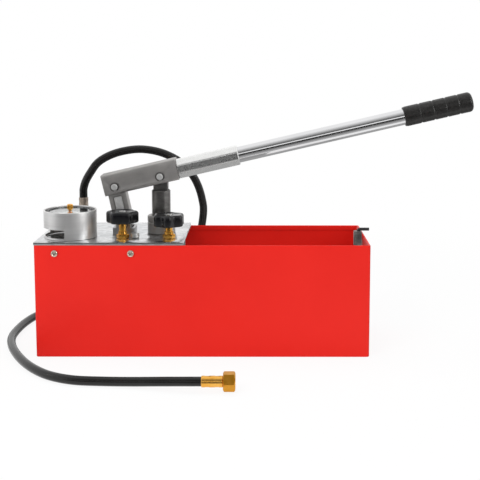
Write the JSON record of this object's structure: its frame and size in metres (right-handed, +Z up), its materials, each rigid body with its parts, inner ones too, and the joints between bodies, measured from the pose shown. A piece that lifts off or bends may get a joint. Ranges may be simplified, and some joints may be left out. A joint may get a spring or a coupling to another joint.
{
  "type": "hand pressure test pump",
  "caption": "Hand-operated pressure test pump: open red water tank, lever-driven plunger, star-knob valves, guarded gauge and a hose with a swivel nut.",
  "frame": {"origin": "middle of the flat underside of the tank", "axes": "+X along the tank towards the lever's grip, -Y the front, +Z up"},
  "size_m": [0.7295, 0.4309, 0.3931],
  "materials": {
    "red_paint": "semi-gloss red enamel",
    "zinc": "bright zinc plating",
    "steel": "satin steel",
    "dark_steel": "dark oiled steel",
    "cast": "as cast",
    "chrome": "bright chrome",
    "brass": "turned brass",
    "nickel": "dull nickel",
    "black_plastic": "glossy phenolic",
    "black_paint": "black enamel",
    "rubber": "matt rubber",
    "glass": "clear",
    "dial_white": "matt white",
    "red_mark": "red enamel"
  },
  "bodies": {
    "base": {"tank": "red_paint", "cover_plate": "zinc", "cover_screw_front_left": "nickel", "cover_screw_front_right": "nickel", "cover_screw_rear_left": "nickel", "cover_screw_rear_right": "nickel", "pump_block": "cast", "block_bolt_front": "zinc", "block_bolt_rear": "zinc", "pump_barrel": "steel", "gland_nut": "steel", "piston_packing": "rubber", "foot_valve_body": "brass", "suction_spring": "steel", "suction_strainer": "zinc", "delivery_plug": "brass", "delivery_spring": "steel", "link_bracket": "zinc", "link_pin_lower": "zinc", "link_clip_lower": "dark_steel", "stop_valve_bonnet": "brass", "release_valve_bonnet": "brass", "gauge_guard": "steel", "gauge_case": "black_paint", "gauge_bezel": "black_paint", "gauge_glass": "glass", "gauge_dial": "dial_white", "gauge_stem": "brass", "bourdon_tube": "brass", "gauge_movement": "brass", "hose_outlet": "brass", "inlet_ferrule": "nickel", "hose": "rubber", "end_ferrule": "brass", "hose_tail": "brass", "catch_guide": "dark_steel"},
    "link": {"link": "steel"},
    "lever": {"lever_clevis": "steel", "lever_socket": "zinc", "lever_tube": "chrome", "lever_grip": "rubber", "link_pin_upper": "zinc", "link_clip_upper": "dark_steel", "piston_pin": "zinc", "piston_clip": "dark_steel"},
    "piston": {"piston": "dark_steel"},
    "stop_spindle": {"stop_valve_spindle": "brass"},
    "stop_knob": {"stop_valve_knob": "black_plastic", "stop_valve_knob_screw": "zinc"},
    "release_spindle": {"release_valve_spindle": "brass"},
    "release_knob": {"release_valve_knob": "black_plastic", "release_valve_knob_screw": "zinc"},
    "pointer": {"gauge_pointer": "black_paint"},
    "drag_hand": {"drag_pointer": "red_mark", "reset_knob": "brass"},
    "catch_slider": {"catch_ring": "black_paint"},
    "catch_arm": {"catch_rod": "black_paint"},
    "hose_nut": {"swivel_nut": "brass"},
    "suction_check": {"suction_ball": "steel"},
    "delivery_check": {"delivery_ball": "steel"}
  },
  "joints": [
    {"name": "link_swing", "type": "hinge", "parent": "base", "child": "link", "pos_m": [-0.1255, 0, 0.189], "axis": [0, -1, 0], "range_deg": [-18.4, 4.2]},
    {"name": "lever_swing", "type": "hinge", "parent": "link", "child": "lever", "pos_m": [-0.13837, 0, 0.24801], "axis": [0, -1, 0], "range_deg": [-11.5, 52]},
    {"name": "piston_slide", "type": "slide", "parent": "base", "child": "piston", "axis": [0, 0, 1], "range_m": [-0.0088, 0.0396]},
    {"name": "stop_valve_lift", "type": "slide", "parent": "base", "child": "stop_spindle", "axis": [0, 0, 1], "range_m": [-0.005, 0.00125]},
    {"name": "stop_valve_turn", "type": "hinge", "parent": "stop_spindle", "child": "stop_knob", "pos_m": [-0.1224, -0.048, 0.2], "axis": [0, 0, 1], "range_deg": [-720, 180]},
    {"name": "release_valve_lift", "type": "slide", "parent": "base", "child": "release_spindle", "axis": [0, 0, 1], "range_m": [0, 0.00625]},
    {"name": "release_valve_turn", "type": "hinge", "parent": "release_spindle", "child": "release_knob", "pos_m": [-0.0522, -0.048, 0.2], "axis": [0, 0, 1], "range_deg": [0, 900]},
    {"name": "gauge_pointer_turn", "type": "hinge", "parent": "base", "child": "pointer", "pos_m": [-0.204, -0.035, 0.2], "axis": [0, 0, -1], "range_deg": [0, 270], "stiffness_Nm_per_rad": 0.0005},
    {"name": "drag_pointer_turn", "type": "hinge", "parent": "base", "child": "drag_hand", "pos_m": [-0.204, -0.035, 0.2], "axis": [0, 0, -1], "range_deg": [-10, 260]},
    {"name": "catch_lift", "type": "slide", "parent": "base", "child": "catch_slider", "axis": [0, 0, 1], "range_m": [0, 0.128]},
    {"name": "catch_turn", "type": "hinge", "parent": "catch_slider", "child": "catch_arm", "pos_m": [0.242, 0.016, 0.176], "axis": [0, 0, 1], "continuous": true},
    {"name": "hose_nut_turn", "type": "hinge", "parent": "base", "child": "hose_nut", "pos_m": [0.044, -0.232, 0.0142], "axis": [1, 0, 0], "continuous": true},
    {"name": "suction_ball_lift", "type": "slide", "parent": "base", "child": "suction_check", "axis": [0, 0, 1], "range_m": [0, 0.0025], "stiffness_N_per_m": 40, "springref_m": -0.001, "deforming": ["suction_spring"]},
    {"name": "delivery_ball_lift", "type": "slide", "parent": "base", "child": "delivery_check", "axis": [0, 0, -1], "range_m": [0, 0.0015], "stiffness_N_per_m": 60, "springref_m": -0.002, "deforming": ["delivery_spring"]}
  ],
  "couplings": [
    {"joint": "link_swing", "follows": "lever_swing", "ratio": -0.35},
    {"joint": "piston_slide", "follows": "lever_swing", "m_per_rad": 0.0435},
    {"joint": "stop_valve_turn", "follows": "stop_valve_lift", "rad_per_m": 2513.3},
    {"joint": "release_valve_turn", "follows": "release_valve_lift", "rad_per_m": 2513.3}
  ]
}
